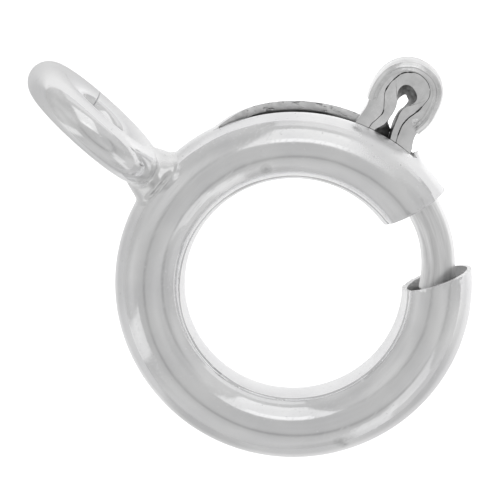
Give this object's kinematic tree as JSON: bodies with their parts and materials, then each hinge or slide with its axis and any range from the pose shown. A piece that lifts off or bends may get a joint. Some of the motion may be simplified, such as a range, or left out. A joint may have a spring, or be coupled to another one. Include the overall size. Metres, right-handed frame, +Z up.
{
  "type": "spring ring clasp",
  "caption": "Round silver spring ring clasp: hollow case with a sprung tongue, a folded trigger in its slot and a soldered end ring.",
  "frame": {"origin": "on the surface that the clasp lies on, under the middle of its outline", "axes": "+X from the end ring to the far edge of the case, +Y towards the trigger, +Z up from the surface"},
  "size_m": [0.0102, 0.0086, 0.0032],
  "materials": {
    "silver": "polished",
    "spring_steel": "drawn wire"
  },
  "bodies": {
    "case": {"case": "silver", "spring": "spring_steel"},
    "tongue": {"tongue": "silver", "trigger_outer": "silver", "trigger_inner": "silver"}
  },
  "joints": [
    {"name": "tongue_draw", "type": "hinge", "parent": "case", "child": "tongue", "pos_m": [0.00158, -0.00078, 0.00101], "axis": [0.1156, 0, 0.9933], "range_deg": [0, 40], "stiffness_Nm_per_rad": 0.002, "deforming": ["spring"]}
  ]
}
